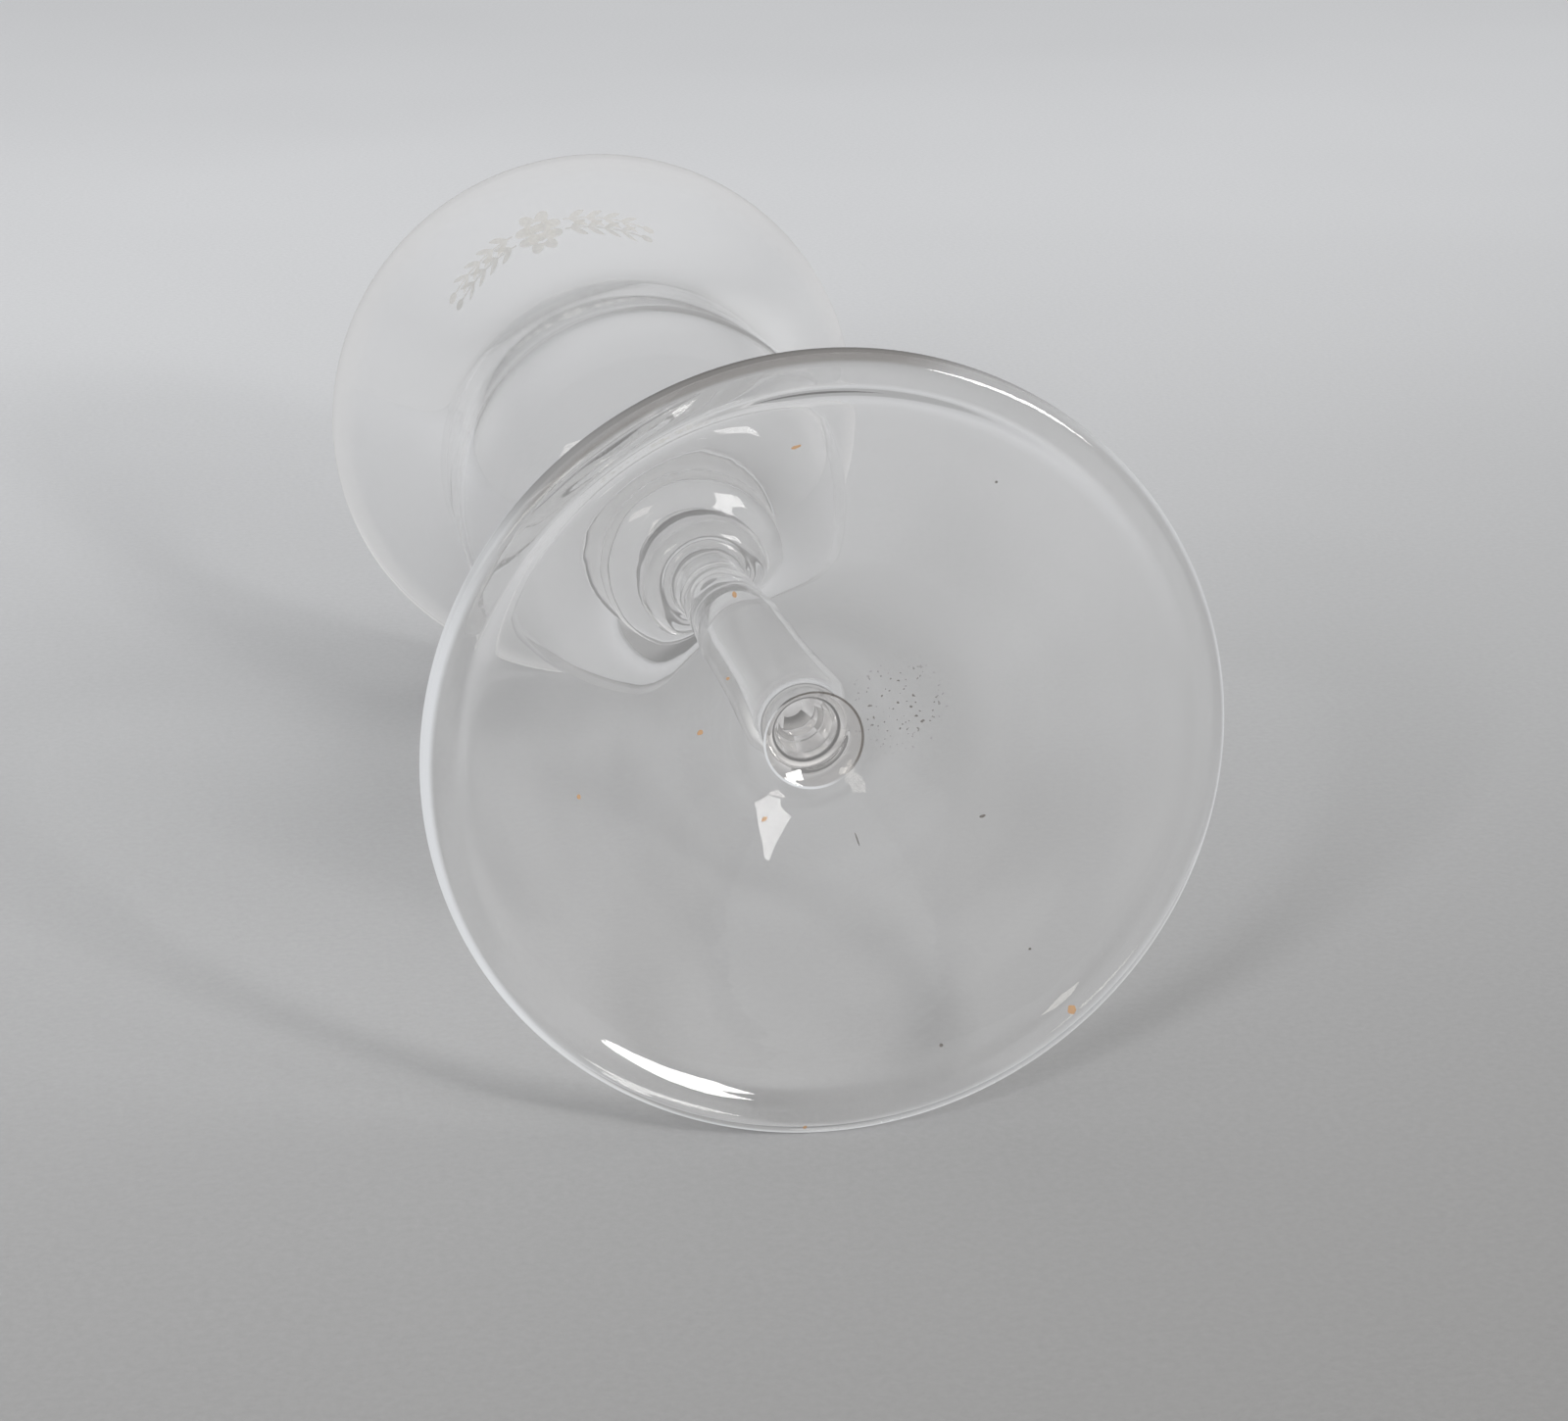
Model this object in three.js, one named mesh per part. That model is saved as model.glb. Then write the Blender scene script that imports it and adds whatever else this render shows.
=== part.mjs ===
import * as THREE from 'three';

// Small stemmed liqueur glass with a bell-shaped bowl, standing upright on its foot.
// Millimetres, +Z up. The origin is the centre of the ring that the foot stands on.
// Every piece is one gather of glass. They are stacked on one axis, and each pair meets
// on a flat joint whose diameter both pieces take from the same value.

// Roundness: how many flats go once round the glass
const SIDES = 60;

// Foot
const FOOT_DIAMETER = 60;
const FOOT_EDGE_THICKNESS = 2.6;
const FOOT_EDGE_ROUNDING = 1.2;
const FOOT_HEIGHT = 11;
const STAND_RING_WIDTH = 1;
const UNDERSIDE_RISE = 5;
const FOOT_SHOULDER_DIAMETER = 24.8;
const FOOT_SHOULDER_HEIGHT = 5.8;

// Thickened bead round the edge of the underside, which ends in the ring it stands on
const BEAD_WIDTH = 4;
const BEAD_RISE = 0.75;

// Ground and polished hollow in the middle of the underside, where the rod was broken off
const PONTIL_DIAMETER = 7.5;
const PONTIL_DEPTH = 1;

// Stem
const STEM_LENGTH = 40;
const STEM_FOOT_JOINT_DIAMETER = 6.1;
const STEM_TOP_DIAMETER = 6.2;
const STEM_KNOP_JOINT_DIAMETER = 7;
const STEM_FLARE_LENGTH = 2;

// Knop, the ball between stem and bowl
const KNOP_HEIGHT = 5.8;
const KNOP_DIAMETER = 11.6;
const KNOP_NECK_DIAMETER = 9.6;

// Solid base of the bowl
const BASE_HEIGHT = 3.8;
const BASE_DIAMETER = 16.4;
const BASE_BOWL_JOINT_DIAMETER = 15.8;

// Bowl
const BOWL_HEIGHT = 56;
const BOWL_FLOOR_THICKNESS = 6.4;
const BELLY_DIAMETER = 36.4;
const BELLY_HEIGHT = 21.5;
const WAIST_DIAMETER = 35.2;
const WAIST_HEIGHT = 36;
const RIM_DIAMETER = 54.4;
const RIM_FLARE_ANGLE = 35;
const WALL_AT_BELLY = 1.5;
const WALL_AT_RIM = 1.1;

// Where each piece starts, counted up from the table
const STEM_Z = FOOT_HEIGHT;
const KNOP_Z = STEM_Z + STEM_LENGTH;
const BASE_Z = KNOP_Z + KNOP_HEIGHT;
const BOWL_Z = BASE_Z + BASE_HEIGHT;

// A point of a profile: distance from the axis, height
function at(radius, height) {
  return new THREE.Vector2(radius, height);
}

function line(from, to) {
  return new THREE.LineCurve(from, to).getPoints(1);
}

function bend(from, pullFrom, pullTo, to, steps) {
  return new THREE.CubicBezierCurve(from, pullFrom, pullTo, to).getPoints(steps);
}

// An S-bend that leaves and arrives parallel to the axis
function easeUp(from, to, steps) {
  const middle = (from.y + to.y) / 2;
  return bend(from, at(from.x, middle), at(to.x, middle), to, steps);
}

// Half a circle round the tip of a wall, from its outer to its inner skin
function roundTip(centre, outward, along, radius, steps) {
  const points = [];
  for (let i = 0; i <= steps; i += 1) {
    const turn = (Math.PI * i) / steps;
    const point = centre.clone();
    point.addScaledVector(outward, radius * Math.cos(turn));
    point.addScaledVector(along, radius * Math.sin(turn));
    points.push(point);
  }
  return points;
}

// Runs of points joined end to end into one profile
function join(...runs) {
  const profile = [];
  for (const run of runs) {
    const repeated = profile.length > 0 && profile[profile.length - 1].distanceTo(run[0]) < 1e-6;
    profile.push(...(repeated ? run.slice(1) : run));
  }
  return profile;
}

// The same run of wall moved in by its thickness, square to the skin, and turned round
function innerSkin(outer, startWall, endWall) {
  const inner = outer.map((point, i) => {
    const before = outer[Math.max(i - 1, 0)];
    const after = outer[Math.min(i + 1, outer.length - 1)];
    const along = after.clone().sub(before).normalize();
    const inward = at(-along.y, along.x);
    const share = i / (outer.length - 1);
    return point.clone().addScaledVector(inward, startWall + (endWall - startWall) * share);
  });
  return inner.reverse();
}

function revolve(profile) {
  const geometry = new THREE.LatheGeometry(profile, SIDES);
  geometry.rotateX(Math.PI / 2);
  return geometry;
}

function clearGlass(shade) {
  return new THREE.MeshStandardMaterial({
    color: shade,
    roughness: 0.04,
    metalness: 0,
    transparent: true,
    opacity: 0.35,
  });
}

function piece(name, profile, shade) {
  const mesh = new THREE.Mesh(revolve(profile), clearGlass(shade));
  mesh.name = name;
  return mesh;
}

// Thin disc with a rounded edge over a thickened bead. Its underside rises to the pontil
// mark, its top slopes up to a faint shoulder and then as a cone to the stem.
function footProfile() {
  const edge = FOOT_DIAMETER / 2;
  const standOuter = at(edge - FOOT_EDGE_ROUNDING, 0);
  const standInner = at(standOuter.x - STAND_RING_WIDTH, 0);
  const beadInner = at(edge - BEAD_WIDTH, BEAD_RISE);
  const edgeLow = at(edge, FOOT_EDGE_THICKNESS * 0.42);
  const edgeHigh = at(edge, FOOT_EDGE_THICKNESS * 0.62);
  const edgeTop = at(standOuter.x, FOOT_EDGE_THICKNESS);
  const pontilEdge = at(PONTIL_DIAMETER / 2, UNDERSIDE_RISE);
  const pontilTop = at(0, UNDERSIDE_RISE + PONTIL_DEPTH);
  const shoulder = at(FOOT_SHOULDER_DIAMETER / 2, FOOT_SHOULDER_HEIGHT);
  const joint = at(STEM_FOOT_JOINT_DIAMETER / 2, FOOT_HEIGHT);
  const bead = standInner.x - beadInner.x;
  const span = beadInner.x - pontilEdge.x;
  const rise = UNDERSIDE_RISE - BEAD_RISE;
  const sweep = FOOT_HEIGHT - FOOT_SHOULDER_HEIGHT;
  return join(
    bend(
      pontilTop,
      at(pontilEdge.x * 0.35, pontilTop.y),
      at(pontilEdge.x * 0.72, UNDERSIDE_RISE + PONTIL_DEPTH * 0.6),
      pontilEdge,
      4,
    ),
    bend(
      pontilEdge,
      at(pontilEdge.x + span * 0.3, BEAD_RISE + rise * 0.72),
      at(pontilEdge.x + span * 0.7, BEAD_RISE + rise * 0.31),
      beadInner,
      4,
    ),
    bend(
      beadInner,
      at(beadInner.x + bead * 0.5, BEAD_RISE * 0.76),
      at(beadInner.x + bead * 0.75, 0),
      standInner,
      4,
    ),
    line(standInner, standOuter),
    bend(
      standOuter,
      at(edge - FOOT_EDGE_ROUNDING * 0.4, 0),
      at(edge, edgeLow.y * 0.4),
      edgeLow,
      3,
    ),
    line(edgeLow, edgeHigh),
    bend(
      edgeHigh,
      at(edge, FOOT_EDGE_THICKNESS * 0.87),
      at(edge - FOOT_EDGE_ROUNDING * 0.45, FOOT_EDGE_THICKNESS * 0.95),
      edgeTop,
      3,
    ),
    line(edgeTop, shoulder),
    bend(
      shoulder,
      at(joint.x + (shoulder.x - joint.x) * 0.2, FOOT_SHOULDER_HEIGHT + sweep * 0.42),
      at(joint.x, FOOT_SHOULDER_HEIGHT + sweep * 0.52),
      joint,
      8,
    ),
    line(joint, at(0, FOOT_HEIGHT)),
  );
}

// Solid drawn stem, flared where it meets the knop
function stemProfile() {
  const bottom = at(STEM_FOOT_JOINT_DIAMETER / 2, STEM_Z);
  const high = at(STEM_TOP_DIAMETER / 2, KNOP_Z - STEM_FLARE_LENGTH);
  const top = at(STEM_KNOP_JOINT_DIAMETER / 2, KNOP_Z);
  return join(
    line(at(0, STEM_Z), bottom),
    line(bottom, high),
    bend(
      high,
      at(high.x, KNOP_Z - STEM_FLARE_LENGTH * 0.5),
      at(high.x, KNOP_Z - STEM_FLARE_LENGTH * 0.15),
      top,
      5,
    ),
    line(top, at(0, KNOP_Z)),
  );
}

// Pressed ball, widest above its middle, drawn in again to a short neck
function knopProfile() {
  const bottom = at(STEM_KNOP_JOINT_DIAMETER / 2, KNOP_Z);
  const widest = at(KNOP_DIAMETER / 2, KNOP_Z + KNOP_HEIGHT * 0.55);
  const neck = at(KNOP_NECK_DIAMETER / 2, BASE_Z);
  return join(
    line(at(0, KNOP_Z), bottom),
    bend(
      bottom,
      at(bottom.x + (widest.x - bottom.x) * 0.85, KNOP_Z + KNOP_HEIGHT * 0.04),
      at(widest.x, KNOP_Z + KNOP_HEIGHT * 0.2),
      widest,
      6,
    ),
    easeUp(widest, neck, 5),
    line(neck, at(0, BASE_Z)),
  );
}

// Solid button of glass that carries the bowl
function baseProfile() {
  const neck = at(KNOP_NECK_DIAMETER / 2, BASE_Z);
  const widest = at(BASE_DIAMETER / 2, BASE_Z + BASE_HEIGHT * 0.66);
  const top = at(BASE_BOWL_JOINT_DIAMETER / 2, BOWL_Z);
  return join(
    line(at(0, BASE_Z), neck),
    bend(
      neck,
      at(neck.x, BASE_Z + BASE_HEIGHT * 0.2),
      at(widest.x, BASE_Z + BASE_HEIGHT * 0.16),
      widest,
      6,
    ),
    easeUp(widest, top, 3),
    line(top, at(0, BOWL_Z)),
  );
}

// Blown bell: a round-bottomed cup, a faint waist, then a wide flare to a fire-polished rim.
// The cavity follows the outside at the wall's thickness, over a thick solid floor.
function bowlProfile() {
  const joint = at(BASE_BOWL_JOINT_DIAMETER / 2, BOWL_Z);
  const belly = at(BELLY_DIAMETER / 2, BOWL_Z + BELLY_HEIGHT);
  const waist = at(WAIST_DIAMETER / 2, BOWL_Z + WAIST_HEIGHT);
  const flare = THREE.MathUtils.degToRad(RIM_FLARE_ANGLE);
  const along = at(Math.sin(flare), Math.cos(flare));
  const outward = at(Math.cos(flare), -Math.sin(flare));
  const tip = WALL_AT_RIM / 2;
  const tipCentre = at(RIM_DIAMETER / 2 - tip, BOWL_Z + BOWL_HEIGHT - tip);
  const outerRim = tipCentre.clone().addScaledVector(outward, tip);
  const flareHeight = outerRim.y - waist.y;

  const cup = bend(
    joint,
    at(joint.x + (belly.x - joint.x) * 0.31, BOWL_Z + BELLY_HEIGHT * 0.23),
    at(belly.x, BOWL_Z + BELLY_HEIGHT * 0.44),
    belly,
    8,
  );
  const side = easeUp(belly, waist, 3);
  const lip = bend(
    waist,
    at(waist.x, waist.y + flareHeight * 0.33),
    outerRim.clone().addScaledVector(along, -flareHeight * 0.45),
    outerRim,
    8,
  );
  const middleWall = (WALL_AT_BELLY + WALL_AT_RIM) / 2;
  const innerLip = innerSkin(lip, middleWall, WALL_AT_RIM);
  const innerSide = innerSkin(side, WALL_AT_BELLY, middleWall);
  const innerBelly = at(belly.x - WALL_AT_BELLY, belly.y);
  const floor = at(0, BOWL_Z + BOWL_FLOOR_THICKNESS);
  const cupDepth = innerBelly.y - floor.y;
  return join(
    line(at(0, BOWL_Z), joint),
    cup,
    side,
    lip,
    roundTip(tipCentre, outward, along, tip, 6),
    innerLip.slice(1, -1),
    innerSide.slice(0, -1),
    bend(
      innerBelly,
      at(innerBelly.x, innerBelly.y - cupDepth * 0.58),
      at(innerBelly.x * 0.66, floor.y),
      floor,
      7,
    ),
  );
}

const glass = new THREE.Group();
glass.name = 'liqueur_glass';
glass.add(piece('foot', footProfile(), 0xe9edec));
glass.add(piece('stem', stemProfile(), 0xe6ebea));
glass.add(piece('knop', knopProfile(), 0xe6ebea));
glass.add(piece('bowl_base', baseProfile(), 0xe6ebea));
glass.add(piece('bowl', bowlProfile(), 0xecefef));

export default glass;
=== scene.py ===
"""A small stemmed liqueur glass, clear, with a flared bell-shaped bowl.

The glass stands upright in its own frame. The picture looks up at it from under the foot,
with the paper it was lying on as a plane that touches the foot and the rim.
"""

import math

import bpy
from mathutils import Euler, Matrix, Vector


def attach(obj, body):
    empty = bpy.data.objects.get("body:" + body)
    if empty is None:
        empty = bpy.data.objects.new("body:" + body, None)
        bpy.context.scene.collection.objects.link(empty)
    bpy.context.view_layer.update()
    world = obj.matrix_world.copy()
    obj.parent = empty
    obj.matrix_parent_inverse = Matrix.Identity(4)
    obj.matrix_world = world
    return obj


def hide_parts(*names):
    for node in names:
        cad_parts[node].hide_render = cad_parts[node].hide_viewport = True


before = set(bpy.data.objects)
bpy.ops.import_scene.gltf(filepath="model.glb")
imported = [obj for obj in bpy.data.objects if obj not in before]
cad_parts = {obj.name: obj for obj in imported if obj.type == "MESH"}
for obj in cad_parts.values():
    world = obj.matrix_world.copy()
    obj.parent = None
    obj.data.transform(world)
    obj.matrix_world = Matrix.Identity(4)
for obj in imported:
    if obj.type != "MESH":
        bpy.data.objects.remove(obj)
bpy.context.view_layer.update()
MM = 0.001

# Sizes of the glass, in millimetres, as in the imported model
FOOT_RADIUS = 30.0
FOOT_EDGE = 2.6
EDGE_ROUNDING = 1.2
FOOT_HEIGHT = 11.0
STAND_RING = 1.0
BEAD_WIDTH = 4.0
BEAD_RISE = 0.75
UNDERSIDE_RISE = 5.0
SHOULDER_RADIUS = 12.4
SHOULDER_HEIGHT = 5.8
PONTIL_RADIUS = 3.75
PONTIL_DEPTH = 1.0
STEM_FOOT_RADIUS = 3.05
STEM_TOP_RADIUS = 3.1
STEM_KNOP_RADIUS = 3.5
STEM_FLARE = 2.0
KNOP_Z = 51.0
KNOP_HEIGHT = 5.8
KNOP_RADIUS = 5.8
NECK_RADIUS = 4.8
BASE_Z = 56.8
BASE_HEIGHT = 3.8
BASE_RADIUS = 8.2
BASE_TOP_RADIUS = 7.9
BOWL_Z = 60.6
BOWL_HEIGHT = 56.0
FLOOR_THICKNESS = 6.4
BELLY_RADIUS = 18.2
BELLY_HEIGHT = 21.5
WAIST_RADIUS = 17.6
WAIST_HEIGHT = 36.0
RIM_RADIUS = 27.2
FLARE = math.radians(35)
WALL_BELLY = 1.5
WALL_RIM = 1.1
FOOT_SHIFT_X = 0.47
FOOT_SHIFT_Y = -0.1
TURNS = 192


# Modelling, as by hand


def deselect():
    if bpy.context.object and bpy.context.object.mode != "OBJECT":
        bpy.ops.object.mode_set(mode="OBJECT")
    bpy.ops.object.select_all(action="DESELECT")


def at(radius, height):
    return Vector((radius, height))


def bend(start, pull_start, pull_end, end, steps):
    run = []
    for i in range(steps + 1):
        t = i / steps
        s = 1 - t
        run.append(s**3 * start + 3 * s * s * t * pull_start + 3 * s * t * t * pull_end + t**3 * end)
    return run


def ease_up(start, end, steps):
    middle = (start.y + end.y) / 2
    return bend(start, at(start.x, middle), at(end.x, middle), end, steps)


def straight(start, end, steps):
    return [start.lerp(end, i / steps) for i in range(steps + 1)]


def round_tip(centre, outward, along, radius, steps):
    run = []
    for i in range(steps + 1):
        turn = math.pi * i / steps
        run.append(centre + outward * radius * math.cos(turn) + along * radius * math.sin(turn))
    return run


def inner_skin(outer, start_wall, end_wall):
    inner = []
    for i, point in enumerate(outer):
        before = outer[max(i - 1, 0)]
        after = outer[min(i + 1, len(outer) - 1)]
        along = (after - before).normalized()
        wall = start_wall + (end_wall - start_wall) * i / (len(outer) - 1)
        inner.append(point + Vector((-along.y, along.x)) * wall)
    return inner[::-1]


def glass_profile():
    """The glass as one closed outline, from the pontil mark to the rim and down to the bowl's floor."""
    stand_outer = at(FOOT_RADIUS - EDGE_ROUNDING, 0)
    edge_low = at(FOOT_RADIUS, FOOT_EDGE * 0.42)
    edge_high = at(FOOT_RADIUS, FOOT_EDGE * 0.62)
    edge_top = at(FOOT_RADIUS - EDGE_ROUNDING, FOOT_EDGE)
    stand_inner = at(stand_outer.x - STAND_RING, 0)
    pontil_edge = at(PONTIL_RADIUS, UNDERSIDE_RISE)
    pontil_top = at(0, UNDERSIDE_RISE + PONTIL_DEPTH)
    shoulder = at(SHOULDER_RADIUS, SHOULDER_HEIGHT)
    stem_foot = at(STEM_FOOT_RADIUS, FOOT_HEIGHT)
    bead_inner = at(FOOT_RADIUS - BEAD_WIDTH, BEAD_RISE)
    bead = stand_inner.x - bead_inner.x
    span = bead_inner.x - pontil_edge.x
    rise = UNDERSIDE_RISE - BEAD_RISE
    sweep = FOOT_HEIGHT - SHOULDER_HEIGHT
    runs = [
        bend(
            pontil_top,
            at(pontil_edge.x * 0.35, pontil_top.y),
            at(pontil_edge.x * 0.72, UNDERSIDE_RISE + PONTIL_DEPTH * 0.6),
            pontil_edge,
            12,
        ),
        bend(
            pontil_edge,
            at(pontil_edge.x + span * 0.3, BEAD_RISE + rise * 0.72),
            at(pontil_edge.x + span * 0.7, BEAD_RISE + rise * 0.31),
            bead_inner,
            20,
        ),
        bend(
            bead_inner,
            at(bead_inner.x + bead * 0.5, BEAD_RISE * 0.76),
            at(bead_inner.x + bead * 0.75, 0),
            stand_inner,
            8,
        ),
        straight(stand_inner, stand_outer, 2),
        bend(
            stand_outer,
            at(FOOT_RADIUS - EDGE_ROUNDING * 0.4, 0),
            at(edge_low.x, edge_low.y * 0.4),
            edge_low,
            8,
        ),
        straight(edge_low, edge_high, 2),
        bend(
            edge_high,
            at(edge_high.x, FOOT_EDGE * 0.87),
            at(FOOT_RADIUS - EDGE_ROUNDING * 0.45, FOOT_EDGE * 0.95),
            edge_top,
            8,
        ),
        straight(edge_top, shoulder, 8),
        bend(
            shoulder,
            at(stem_foot.x + (shoulder.x - stem_foot.x) * 0.2, SHOULDER_HEIGHT + sweep * 0.42),
            at(stem_foot.x, SHOULDER_HEIGHT + sweep * 0.52),
            stem_foot,
            20,
        ),
    ]
    high = at(STEM_TOP_RADIUS, KNOP_Z - STEM_FLARE)
    stem_top = at(STEM_KNOP_RADIUS, KNOP_Z)
    runs += [
        straight(stem_foot, high, 8),
        bend(
            high,
            at(high.x, KNOP_Z - STEM_FLARE * 0.5),
            at(high.x, KNOP_Z - STEM_FLARE * 0.15),
            stem_top,
            8,
        ),
    ]
    widest = at(KNOP_RADIUS, KNOP_Z + KNOP_HEIGHT * 0.55)
    neck = at(NECK_RADIUS, BASE_Z)
    button = at(BASE_RADIUS, BASE_Z + BASE_HEIGHT * 0.66)
    bowl_joint = at(BASE_TOP_RADIUS, BOWL_Z)
    runs += [
        bend(
            stem_top,
            at(stem_top.x + (widest.x - stem_top.x) * 0.85, KNOP_Z + KNOP_HEIGHT * 0.04),
            at(widest.x, KNOP_Z + KNOP_HEIGHT * 0.2),
            widest,
            12,
        ),
        ease_up(widest, neck, 10),
        bend(
            neck,
            at(neck.x, BASE_Z + BASE_HEIGHT * 0.2),
            at(button.x, BASE_Z + BASE_HEIGHT * 0.16),
            button,
            12,
        ),
        ease_up(button, bowl_joint, 8),
    ]
    belly = at(BELLY_RADIUS, BOWL_Z + BELLY_HEIGHT)
    waist = at(WAIST_RADIUS, BOWL_Z + WAIST_HEIGHT)
    along = at(math.sin(FLARE), math.cos(FLARE))
    outward = at(math.cos(FLARE), -math.sin(FLARE))
    tip = WALL_RIM / 2
    tip_centre = at(RIM_RADIUS - tip, BOWL_Z + BOWL_HEIGHT - tip)
    rim = tip_centre + outward * tip
    lift = rim.y - waist.y
    cup = bend(
        bowl_joint,
        at(bowl_joint.x + (belly.x - bowl_joint.x) * 0.31, BOWL_Z + BELLY_HEIGHT * 0.23),
        at(belly.x, BOWL_Z + BELLY_HEIGHT * 0.44),
        belly,
        22,
    )
    side = ease_up(belly, waist, 10)
    lip = bend(waist, at(waist.x, waist.y + lift * 0.33), rim - along * lift * 0.45, rim, 22)
    middle_wall = (WALL_BELLY + WALL_RIM) / 2
    inner_belly = at(belly.x - WALL_BELLY, belly.y)
    floor = at(0, BOWL_Z + FLOOR_THICKNESS)
    depth = inner_belly.y - floor.y
    runs += [
        cup,
        side,
        lip,
        round_tip(tip_centre, outward, along, tip, 12),
        inner_skin(lip, middle_wall, WALL_RIM)[1:-1],
        inner_skin(side, WALL_BELLY, middle_wall)[:-1],
        bend(
            inner_belly,
            at(inner_belly.x, inner_belly.y - depth * 0.58),
            at(inner_belly.x * 0.66, floor.y),
            floor,
            22,
        ),
    ]
    outline = []
    for run in runs:
        for point in run:
            if not outline or (point - outline[-1]).length > 1e-4:
                outline.append(point)
    return outline


def drawn_outline(name, outline):
    """A single vertex drawn along the outline by extruding it, one point at a time."""
    deselect()
    start = Vector((outline[0].x, 0, outline[0].y)) * MM
    bpy.ops.mesh.primitive_plane_add(size=MM, location=(0, 0, 0))
    piece = bpy.context.object
    piece.name = name
    bpy.ops.object.mode_set(mode="EDIT")
    bpy.ops.mesh.select_all(action="SELECT")
    bpy.ops.mesh.merge(type="CENTER")
    bpy.ops.transform.translate(value=start)
    for here, there in zip(outline, outline[1:]):
        step = there - here
        bpy.ops.mesh.extrude_region_move(
            TRANSFORM_OT_translate={"value": (step.x * MM, 0, step.y * MM)}
        )
    return piece


def spun(piece):
    """The outline turned once round the glass's axis, closed at its seam and at both poles."""
    bpy.ops.mesh.select_all(action="SELECT")
    bpy.ops.mesh.spin(steps=TURNS, angle=math.tau, center=(0, 0, 0), axis=(0, 0, 1))
    bpy.ops.mesh.select_all(action="SELECT")
    bpy.ops.mesh.remove_doubles(threshold=0.00001)
    bpy.ops.mesh.normals_make_consistent(inside=False)
    bpy.ops.object.mode_set(mode="OBJECT")
    bpy.ops.object.shade_smooth_by_angle(angle=math.radians(40))
    return piece


def lean_foot(piece):
    """The foot was put on by hand, about half a millimetre off the stem's line."""
    deselect()
    bpy.context.view_layer.objects.active = piece
    piece.select_set(True)
    for vertex in piece.data.vertices:
        x, y, z = vertex.co
        reach = max(0.0, min(1.0, (math.hypot(x, y) / MM - 4.0) / 16.0))
        if z < 8 * MM and reach > 0:
            ease = reach * reach * (3 - 2 * reach)
            vertex.co.x += FOOT_SHIFT_X * MM * ease
            vertex.co.y += FOOT_SHIFT_Y * MM * ease
    return piece


glass = lean_foot(spun(drawn_outline("glass_body", glass_profile())))
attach(glass, "root")
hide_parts("foot", "stem", "knop", "bowl_base", "bowl")


# Materials


class Value:
    """A socket that takes part in Python arithmetic."""

    def __init__(self, tree, socket):
        self.tree = tree
        self.socket = socket

    def math(self, operation, *terms):
        node = self.tree.nodes.new("ShaderNodeMath")
        node.operation = operation
        for slot, term in zip(node.inputs, (self, *terms)):
            plug(self.tree, slot, term)
        return Value(self.tree, node.outputs[0])

    def after(self, term, operation):
        node = self.tree.nodes.new("ShaderNodeMath")
        node.operation = operation
        plug(self.tree, node.inputs[0], term)
        plug(self.tree, node.inputs[1], self)
        return Value(self.tree, node.outputs[0])

    def __add__(self, term):
        return self.math("ADD", term)

    __radd__ = __add__

    def __sub__(self, term):
        return self.math("SUBTRACT", term)

    def __rsub__(self, term):
        return self.after(term, "SUBTRACT")

    def __mul__(self, term):
        return self.math("MULTIPLY", term)

    __rmul__ = __mul__

    def __truediv__(self, term):
        return self.math("DIVIDE", term)

    def __rtruediv__(self, term):
        return self.after(term, "DIVIDE")

    def __lt__(self, term):
        return self.math("LESS_THAN", term)

    def __gt__(self, term):
        return self.math("GREATER_THAN", term)

    def __or__(self, term):
        return self.math("MAXIMUM", term)

    def __abs__(self):
        return self.math("ABSOLUTE")

    def ramp(self, low, high):
        """0 at low, 1 at high, smooth between."""
        share = (self - low) / (high - low)
        share = share.math("MAXIMUM", 0.0).math("MINIMUM", 1.0)
        return share * share * (3 - 2 * share)


def plug(tree, slot, term):
    if isinstance(term, Value):
        tree.links.new(term.socket, slot)
    else:
        slot.default_value = term


class Finish:
    """The nodes of a material, or of the room's light."""

    def __init__(self, made, output="ShaderNodeOutputMaterial"):
        self.made = made
        made.use_nodes = True
        self.tree = made.node_tree
        self.tree.nodes.clear()
        self.output = self.tree.nodes.new(output)

    def node(self, kind, settings=None, out=0, **sockets):
        """Sockets go by name, with _ for a space, or by number as in i0."""
        made = self.tree.nodes.new(kind)
        for key, setting in (settings or {}).items():
            setattr(made, key, setting)
        for key, term in sockets.items():
            numbered = key[0] == "i" and key[1:].isdigit()
            plug(self.tree, made.inputs[int(key[1:]) if numbered else key.replace("_", " ")], term)
        return Value(self.tree, made.outputs[out])

    def place(self):
        return self.node("ShaderNodeTexCoord", out="Object")

    def apart(self, vector):
        made = self.node("ShaderNodeSeparateXYZ", Vector=vector)
        return [Value(self.tree, socket) for socket in made.socket.node.outputs]

    def vector(self, operation, first, second, out=0):
        return self.node("ShaderNodeVectorMath", {"operation": operation}, out=out, i0=first, i1=second)

    def noise(self, vector, scale, detail=2.0, roughness=0.5):
        return self.node(
            "ShaderNodeTexNoise", Vector=vector, Scale=scale, Detail=detail, Roughness=roughness
        )

    def blended(self, share, first, second):
        return self.node("ShaderNodeMixShader", i0=share, i1=first, i2=second)

    def tinted(self, share, first, second):
        settings = {"data_type": "RGBA", "clamp_factor": True}
        return self.node("ShaderNodeMix", settings, out=2, i0=share, i6=first, i7=second)

    def surface(self, shader):
        plug(self.tree, self.output.inputs["Surface"], shader)
        return self.made


def new_finish(name):
    return Finish(bpy.data.materials.new(name))


CLEAR = (0.99, 0.989, 0.988, 1)
CLEAR_PAINTED_SHADE = (0.95, 0.95, 0.952, 1)
CLEAR_BROWNED = (0.82, 0.78, 0.75, 1)
FROST = (0.45, 0.44, 0.42, 1)
SMEAR_PAINTED_GLOW = (0.635, 0.632, 0.634, 1)
PAINTED_EDGE_HIGHLIGHT = (0.9, 0.92, 0.95, 1)
RUST = (0.26, 0.15, 0.07, 1)
SOOT_AND_PAINTED_SHADE = (0.05, 0.042, 0.035, 1)
GLASS_IOR = 1.51

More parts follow.
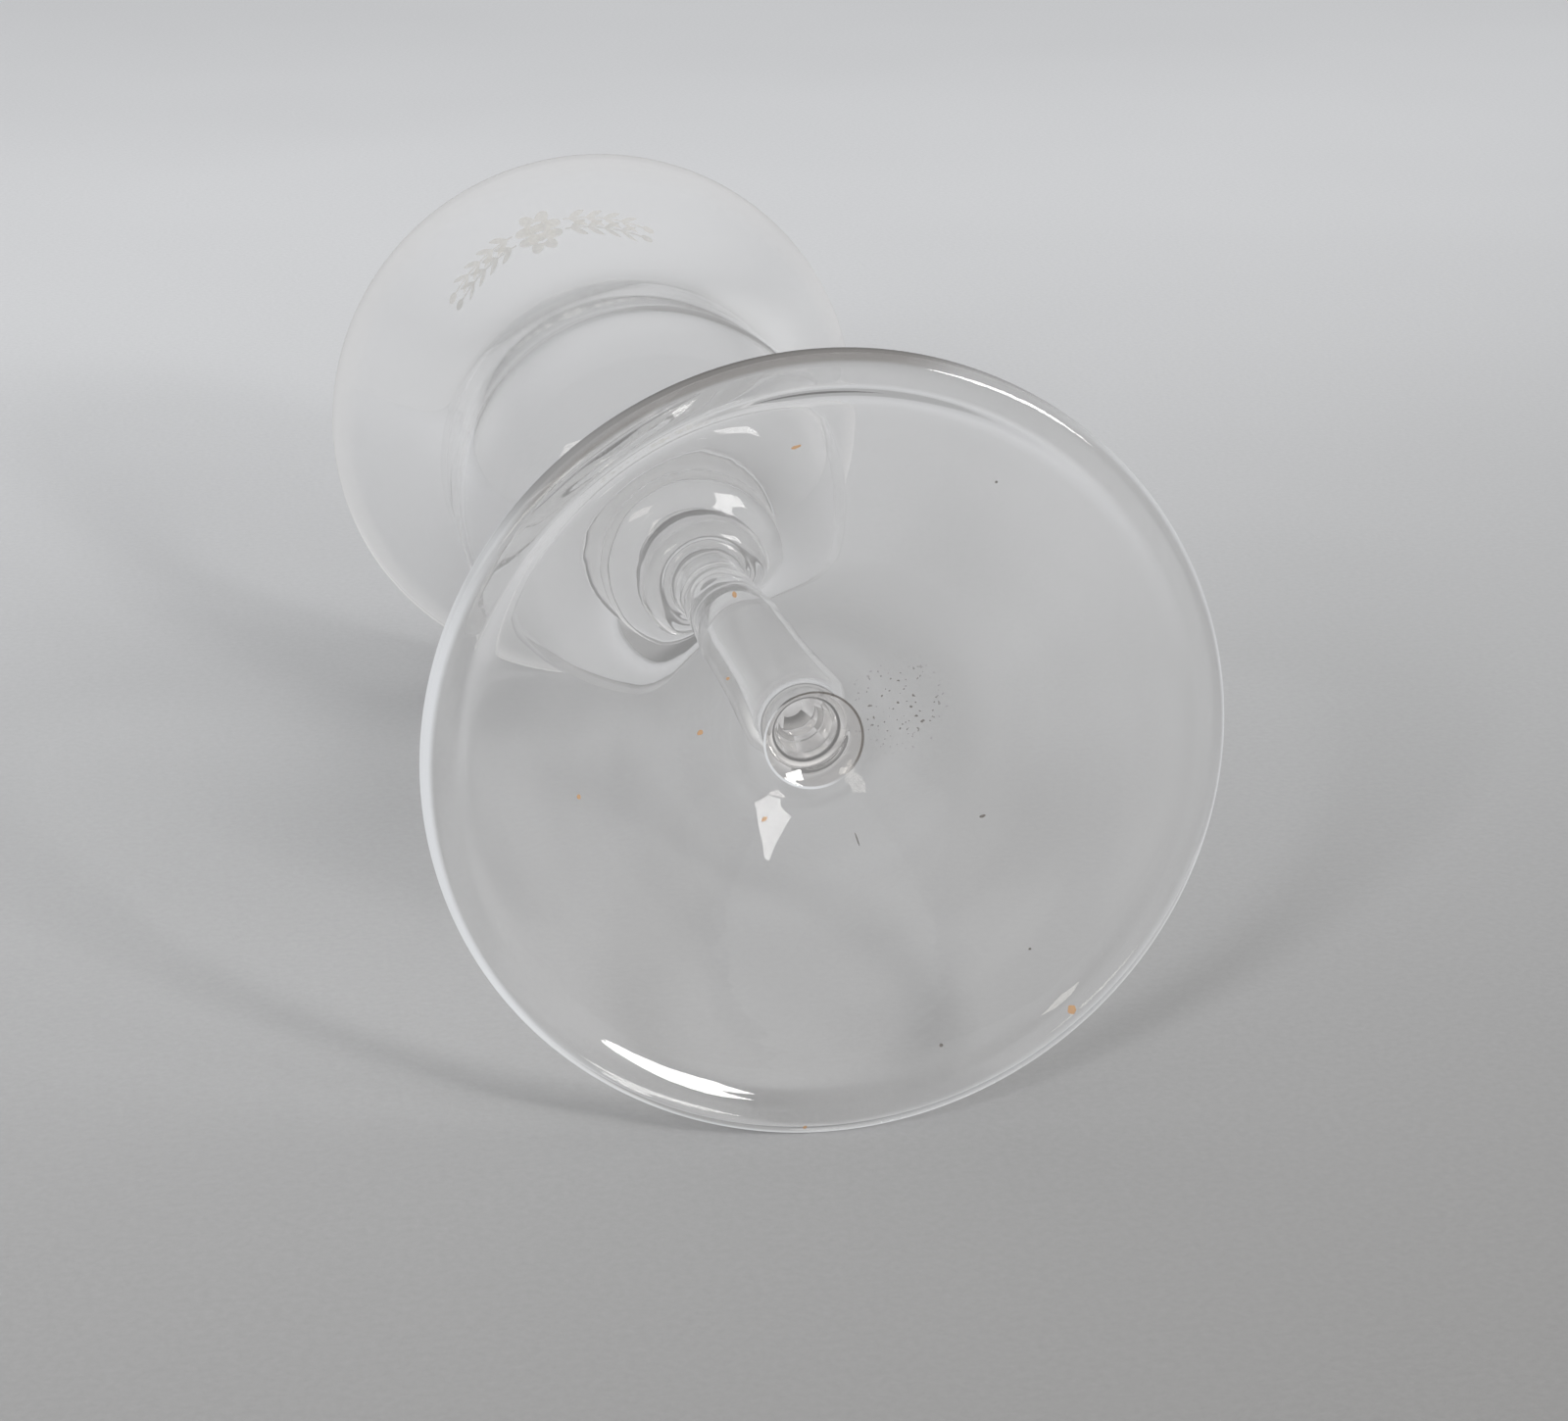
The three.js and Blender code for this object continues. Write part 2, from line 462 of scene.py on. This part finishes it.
EDGE_TOP = 2.8 * MM
FOOT_TOP = 7 * MM
CUP_BOTTOM = 60 * MM
SOLID_TOP = 66 * MM
FLARE_START = 96 * MM
RIM_START = 113.5 * MM
CREASE_RADIUS = 3.72 * MM

# The ornament's middle, in millimetres: its height, and the radius of the flare there
ORNAMENT_HEIGHT = 108.6
ORNAMENT_RADIUS = 22.5

# Dust under the foot, in millimetres: place, and how wide and deep each speck is
RUSTY_SPECKS = [
    (-7.9, -4.0, 0.24, 0.2),
    (-5.4, 4.3, 0.26, 0.17),
    (-4.7, -7.2, 0.14, 0.12),
    (-2.4, -13.4, 0.16, 0.26),
    (4.9, -22.8, 0.36, 0.13),
    (11.8, 25.7, 0.32, 0.42),
    (-10.2, 27.1, 0.16, 0.14),
    (-17.9, -3.2, 0.14, 0.22),
]
DARK_SPECKS = [
    (10.1, 9.6, 0.22, 0.12),
    (18.0, -15.3, 0.1, 0.1),
    (1.6, 25.1, 0.16, 0.14),
    (10.3, 20.4, 0.12, 0.09),
    (0.7, 8.3, 0.05, 0.5),
]


def length(across, along):
    return (across * across + along * along).math("SQRT")


class GlassPlaces:
    """Where a point lies on the glass: across, along and up, and which part it belongs to."""

    def __init__(self, finish):
        self.place = finish.place()
        self.x, self.y, self.z = finish.apart(self.place)
        self.radius = length(self.x, self.y)
        self.in_pontil = (self.radius < CREASE_RADIUS) * (self.z < FOOT_TOP)
        # The underside lies below a cone halfway through the foot
        self.under = self.z + self.radius * 0.204 < 7.2 * MM
        self.foot_x = self.x - FOOT_SHIFT_X * MM
        self.foot_y = self.y - FOOT_SHIFT_Y * MM
        self.foot_radius = length(self.foot_x, self.foot_y)
        self.back_to_front = self.foot_y / (FOOT_RADIUS * MM)
        self.on_edge = self.z < EDGE_TOP


def waves(finish, on):
    """What blowing and turning left: rings round the foot, slow swells, and a rough pontil mark."""
    lathe = finish.node("ShaderNodeCombineXYZ", i0=on.radius * 4.0, i1=on.z * 3.0, i2=on.x * 0.6)
    rings = finish.noise(lathe, 95.0, 2.0)
    swell = finish.noise(on.place, 55.0, 1.0)
    height = (rings * 0.35 + swell) * (on.in_pontil * 7.0 + 1.0)
    return finish.node("ShaderNodeBump", Strength=1.0, Distance=0.00002, Height=height)


def etched_ornament(finish, on):
    """A small rosette between two leafy sprigs, frosted into the outside of the flare."""
    u = on.x.math("ARCTAN2", 0 - on.y) * ORNAMENT_RADIUS
    v = (on.z / MM - ORNAMENT_HEIGHT) * 1.22
    beside = abs(u)
    petals = abs((v.math("ARCTAN2", u) * 3.0).math("COSINE")) * 1.15 + 1.25
    reach = length(u, v)
    flower = (reach < petals) - (abs(reach - 0.72) < 0.16)
    bow = v + beside * beside * 0.016 - 0.35
    leaf = ((beside - 3.3) / 1.75).math("FRACT")
    fat = leaf * (1 - leaf) * 4 * (1.28 - beside * 0.062)
    off_leaf = abs(abs(bow) - leaf * 1.05 - 0.08)
    leaves = (beside > 3.3) * (beside < 10.3) * (off_leaf < fat * 0.42)
    stalk = (beside > 2.7) * (beside < 10.9) * (abs(bow) < 0.11)
    bud = ((beside - 11.4) * (beside - 11.4) + bow * bow * 1.8).math("SQRT") < 0.62
    drawn = flower | leaves | stalk | bud
    normal = finish.node("ShaderNodeTexCoord", out="Normal")
    sideways = finish.vector("MULTIPLY", on.place, (1, 1, 0))
    outward = finish.vector("DOT_PRODUCT", normal, sideways, out=1)
    return drawn * (outward > 0) * (on.z > FLARE_START)


def body_of_glass(finish, on, scuffs):
    """Clear glass, scratched where it has stood, darker through the cup as painted shade, brownish in
    the pontil mark.
    """
    stood = (1 - on.z.ramp(0.005 * MM, 0.05 * MM)) * scuffs.ramp(0.5, 0.7)
    # Painted shade: the cup's glass is tinted darker, in place of the bowl's shadow on the paper behind
    # it
    cup = on.z.ramp(CUP_BOTTOM, 62 * MM) * (1 - on.z.ramp(78 * MM, 90 * MM))
    hue = finish.tinted(on.in_pontil, finish.tinted(cup, CLEAR, CLEAR_PAINTED_SHADE), CLEAR_BROWNED)
    return finish.node(
        "ShaderNodeBsdfPrincipled",
        Base_Color=hue,
        Roughness=stood * 0.12,
        IOR=GLASS_IOR,
        Transmission_Weight=1.0,
        Normal=waves(finish, on),
    )


def smears_and_painted_glow(finish, on, body):
    """A thin veil of painted glow over the glass: an emission that lightens it everywhere, more in
    smeared rounds under the foot, and most at the soft-edged rim.
    """
    turned = finish.node("ShaderNodeCombineXYZ", i0=on.radius * 2.2, i1=on.x * 0.5, i2=on.y * 0.5)
    rounds = finish.noise(turned, 110.0, 1.0).ramp(0.35, 0.7)
    rim = on.z.ramp(RIM_START, 115.5 * MM) * 0.3
    # Painted glow: this emission, not a lamp, brightens the glass; the rounds follow real smears
    painted_glow_veil = finish.node("ShaderNodeEmission", Color=SMEAR_PAINTED_GLOW)
    return finish.blended(on.under * (rounds * 0.06 + 0.08) + rim + 0.035, body, painted_glow_veil)


def etched(finish, on, body, scuffs):
    frosted = etched_ornament(finish, on) * (0.72 + scuffs * 0.4)
    frost = finish.node(
        "ShaderNodeBsdfPrincipled",
        Base_Color=FROST,
        Roughness=0.7,
        IOR=GLASS_IOR,
        Transmission_Weight=0.35,
    )
    return finish.blended(frosted * 0.8, body, frost)


def painted_edge_highlights(finish, on, body, painted_crease_highlight):
    """Painted highlights: an emission on the foot's polished edge, broadest at the side, and on the
    pontil mark's crease.
    """
    side = (on.foot_x * -0.98 - on.foot_y * 0.14) / (FOOT_RADIUS * MM)
    broad = on.foot_radius.ramp(29.1 * MM, 29.6 * MM) * side.ramp(0.6, 0.93)
    thin_part = on.back_to_front.ramp(-0.75, -0.4) | side.ramp(0.1, 0.6)
    thin = on.foot_radius.ramp(29.45 * MM, 29.8 * MM) * thin_part * 0.55
    painted_highlight = finish.node("ShaderNodeEmission", Color=PAINTED_EDGE_HIGHLIGHT, Strength=0.8)
    body = finish.blended((broad | thin) * on.on_edge * 0.85, body, painted_highlight)
    return finish.blended(painted_crease_highlight * 0.8, body, painted_highlight)


def dusted(on, ragged, specks):
    """1 inside any of the specks, whose edges are left a little ragged."""
    found = 0
    for across, along, wide, deep in specks:
        over = (on.x - across * MM) / (wide * MM)
        down = (on.y - along * MM) / (deep * MM)
        found = (over * over + down * down < ragged) | found
    return found


def dust_and_painted_shade(finish, on, body, painted_crease_shade):
    """Dust and rust under the foot, thickest beside the pontil mark, with painted shade on the pontil
    mark's crease away from the light and a painted dark band along the foot's far edge.
    """
    grain = finish.noise(on.place, 3900.0, 0.0)
    ragged = grain * 0.9 + 0.55
    off_patch = length(on.x - 6.8 * MM, on.y + 0.6 * MM)
    sprinkled = (grain > 0.745) * (1 - off_patch.ramp(1.6 * MM, 4.4 * MM))
    rust = finish.node("ShaderNodeBsdfPrincipled", Base_Color=RUST, Roughness=0.8)
    soot_and_painted_shade = finish.node("ShaderNodeBsdfPrincipled", Base_Color=SOOT_AND_PAINTED_SHADE, Roughness=0.8)
    body = finish.blended(on.under * dusted(on, ragged, RUSTY_SPECKS) * 0.85, body, rust)
    # The specks are real dust; the crease part is painted shade
    dark = dusted(on, ragged, DARK_SPECKS) | sprinkled | painted_crease_shade
    # Painted shade: a dark band along the far part of the foot's edge, where the dark room shows in it
    far_part = (0 - on.back_to_front).ramp(0.78, 0.9) * on.on_edge
    painted_dark_edge = on.foot_radius.ramp(29.15 * MM, 29.5 * MM) * far_part
    return finish.blended(on.under * dark * 0.75 | painted_dark_edge * 0.5, body, soot_and_painted_shade)


def letting_light_by(finish, on):
    """Clear glass throws a thin shadow where it faces the light and a dark one along its edges."""
    shadow = finish.node("ShaderNodeLightPath", out="Is Shadow Ray")
    edge_on = finish.node("ShaderNodeLayerWeight", out="Facing", Blend=0.5)
    on_paper = on.back_to_front.ramp(0.8, 0.98)
    bead = on.radius.ramp(26.2 * MM, 27.6 * MM) * (on.z < 4 * MM) * (1 - on_paper * 0.6)
    solid = (on.z > FOOT_TOP) * (on.z < SOLID_TOP) * (on.radius < 10 * MM)
    blown = on.z > SOLID_TOP
    thick = (bead * 0.62) | (solid * 0.45) | (blown * 0.22)
    return shadow * (1 - edge_on.ramp(0.7, 0.97)) * (0.96 - thick)


def clear_glass():
    finish = new_finish("clear_glass")
    on = GlassPlaces(finish)
    scuffs = finish.noise(on.place, 2600.0, 1.0, 0.7)
    crease = (abs(on.radius - CREASE_RADIUS) < 0.09 * MM) * (on.z < FOOT_TOP)
    to_light = (on.y * 0.39 - on.x * 0.92) / CREASE_RADIUS
    body = body_of_glass(finish, on, scuffs)
    body = etched(finish, on, smears_and_painted_glow(finish, on, body), scuffs)
    # Painted highlight on the side of the pontil mark's crease that faces the light
    body = painted_edge_highlights(finish, on, body, crease * to_light.ramp(-0.1, 0.7))
    # Painted shade on the side of the pontil mark's crease away from the light
    body = dust_and_painted_shade(finish, on, body, crease * (1 - to_light.ramp(-0.5, 0.1)))
    nothing = finish.node("ShaderNodeBsdfTransparent")
    return finish.surface(finish.blended(letting_light_by(finish, on), body, nothing))


glass.data.materials.append(clear_glass())


# Stage: the paper, seen only from its front, and a floor for the glass to stand on in other views

PAPER_UP = Vector((0.2966, -0.9547, -0.0261)).normalized()
PAPER_TOUCH = 30.02 * MM
AHEAD = Vector((0.08856, 0.34167, 0.93564))
AWAY = (AHEAD - PAPER_UP * AHEAD.dot(PAPER_UP)).normalized()
RIGHT = AWAY.cross(PAPER_UP)
# Painted light and shade on the paper: its colour is dark near the camera, light far away, and dimmer
# again at the far end
PAPER_NEAR_PAINTED_SHADE = (0.092, 0.09, 0.086, 1)
PAPER_FAR_PAINTED_LIGHT = (0.725, 0.735, 0.757, 1)
PAPER_END_PAINTED_DIM = (0.5, 0.505, 0.515, 1)
FLOOR = (0.8, 0.8, 0.79)
SHEET_SIZE = 3.0


def paper_grey(finish, shade):
    place = finish.place()
    fibres = finish.noise(place, 1500.0, 4.0, 0.65)
    cloudy = finish.noise(place, 9.0, 2.0)
    mottle = (fibres - 0.5) * 0.2 + (cloudy - 0.5) * 0.08 + 1.0
    colour = finish.vector("SCALE", shade, (0, 0, 0))
    plug(finish.tree, colour.socket.node.inputs["Scale"], mottle)
    rough = finish.node("ShaderNodeBump", Strength=0.3, Distance=0.0001, Height=fibres)
    return finish.node("ShaderNodeBsdfPrincipled", Base_Color=colour, Roughness=0.85, Normal=rough)


def paper_finish(turned):
    finish = new_finish("grey_paper")
    away_here = turned.inverted() @ AWAY
    right_here = turned.inverted() @ RIGHT
    place = finish.place()
    away = finish.vector("DOT_PRODUCT", place, tuple(away_here), out=1)
    right = finish.vector("DOT_PRODUCT", place, tuple(right_here), out=1)
    # Painted light and shade: the paper is darker near the camera and to the right, lighter far off, and
    # dimmer again beyond 0.7 m, in place of the falloff of the lamps' and room's light
    painted_light_falloff = (away - right * 0.42).ramp(-0.2, 0.46)
    shade = finish.tinted(painted_light_falloff, PAPER_NEAR_PAINTED_SHADE, PAPER_FAR_PAINTED_LIGHT)
    shade = finish.tinted(away.ramp(0.7, 0.95), shade, PAPER_END_PAINTED_DIM)
    nothing = finish.node("ShaderNodeBsdfTransparent")
    behind = finish.node("ShaderNodeNewGeometry", out="Backfacing")
    return finish.surface(finish.blended(behind, paper_grey(finish, shade), nothing))


def floor_finish():
    finish = new_finish("pale_floor")
    nothing = finish.node("ShaderNodeBsdfTransparent")
    front = 1 - finish.node("ShaderNodeNewGeometry", out="Backfacing")
    seen = finish.node("ShaderNodeLightPath", out="Is Camera Ray")
    return finish.surface(finish.blended(front * seen, nothing, paper_grey(finish, FLOOR)))


def sheet(name, turned, middle, material):
    deselect()
    bpy.ops.mesh.primitive_plane_add(size=SHEET_SIZE)
    board = bpy.context.object
    board.name = name
    board.rotation_euler = turned.to_euler()
    board.location = middle
    board.data.materials.append(material)


paper_turn = PAPER_UP.to_track_quat("Z", "Y")
floor_turn = Vector((0, 0, 1)).to_track_quat("Z", "Y")
sheet("paper", paper_turn, -PAPER_UP * PAPER_TOUCH, paper_finish(paper_turn))
sheet("floor", floor_turn, (0, 0, 0), floor_finish())


# Camera, at the photograph's angle

CAMERA_PLACE = (-0.0245, -0.09204, -0.23875)
CAMERA_TURN = (162.563, 11.273, 17.367)
LENS = 81
SENSOR = 36

bpy.ops.object.camera_add(
    location=CAMERA_PLACE, rotation=Euler([math.radians(angle) for angle in CAMERA_TURN])
)
camera = bpy.context.object
camera.data.sensor_width = SENSOR
camera.data.lens = LENS
camera.data.clip_start = 0.01
bpy.context.scene.camera = camera


# Light: two lamps beside the camera, in a soft room that is brightest overhead and dark beyond the paper


def lamp(name, right, up, away, wide, high, power, tint):
    """A soft lamp facing the glass, placed in millimetres from where the foot touches the paper."""
    spot = (RIGHT * right + PAPER_UP * up + AWAY * away) * MM - PAPER_UP * PAPER_TOUCH
    back = (spot - AWAY * 60 * MM).normalized()
    across = PAPER_UP.cross(back).normalized()
    bpy.ops.object.light_add(type="AREA", location=spot)
    made = bpy.context.object
    made.name = name
    made.data.energy = power
    made.data.shape = "RECTANGLE"
    made.data.size = wide * MM
    made.data.size_y = high * MM
    made.data.color = tint
    made.rotation_euler = Matrix((across, back.cross(across), back)).transposed().to_euler()
    return made


COOL = (0.98, 0.985, 1.0)
WARM = (1.0, 0.99, 0.975)
YELLOWISH = (1.0, 0.97, 0.9)

# Each lamp is a wide soft front that the glass mirrors, and a bulb behind it that draws the shadows
lamp("left_front", -132, 180, -335, 160, 55, 0.13, YELLOWISH)
lamp("right_front", 325, 215, -300, 165, 100, 1.3, WARM)
for bulb in (
    lamp("left_bulb", -135, 230, -390, 75, 60, 1.7, COOL),
    lamp("right_bulb", 320, 295, -455, 75, 60, 2.6, WARM),
):
    bulb.visible_glossy = False
    bulb.visible_transmission = False

ROOM_LIGHT = (0.985, 0.985, 0.98, 1)
ROOM_SEEN = (0.55, 0.56, 0.58, 1)
WINDOW = (RIGHT * 0.55 + AWAY * 0.82 + PAPER_UP * 0.15).normalized()

world = bpy.data.worlds.new("room")
bpy.context.scene.world = world
room = Finish(world, "ShaderNodeOutputWorld")


def looking(way):
    """How nearly a ray of the room's light comes from that way, 1 where it does."""
    towards = room.node("ShaderNodeTexCoord", out="Generated")
    return room.vector("DOT_PRODUCT", towards, tuple(way), out=1)


overhead = looking(PAPER_UP)
beyond = looking((0.0, 0.0, 1.0))
sides = abs(looking(RIGHT)).ramp(0.35, 0.8) * (1 - overhead.ramp(0.15, 0.45))
glow = overhead.ramp(0.15, 1.0) * 0.6 + 0.3 + looking(WINDOW).ramp(0.93, 0.99) * 0.4 + sides * 0.3
dark = (looking(-AHEAD).ramp(0.8, 0.97) * 0.6) | (beyond.ramp(0.95, 0.985) * 0.7)

# Under the horizon the glass is to show the floor's own grey
through_glass = room.node("ShaderNodeLightPath", out="Is Glossy Ray")
floor_shown = (0 - beyond).ramp(0.0, 0.1) * through_glass
strength = glow * (1 - dark) * (1 - floor_shown) + floor_shown * 0.42
lit = room.node("ShaderNodeBackground", Color=ROOM_LIGHT, Strength=strength)
seen = room.node("ShaderNodeBackground", Color=ROOM_SEEN)
to_camera = room.node("ShaderNodeLightPath", out="Is Camera Ray")
room.surface(room.blended(to_camera, lit, seen))

bpy.context.scene.view_settings.view_transform = "Standard"
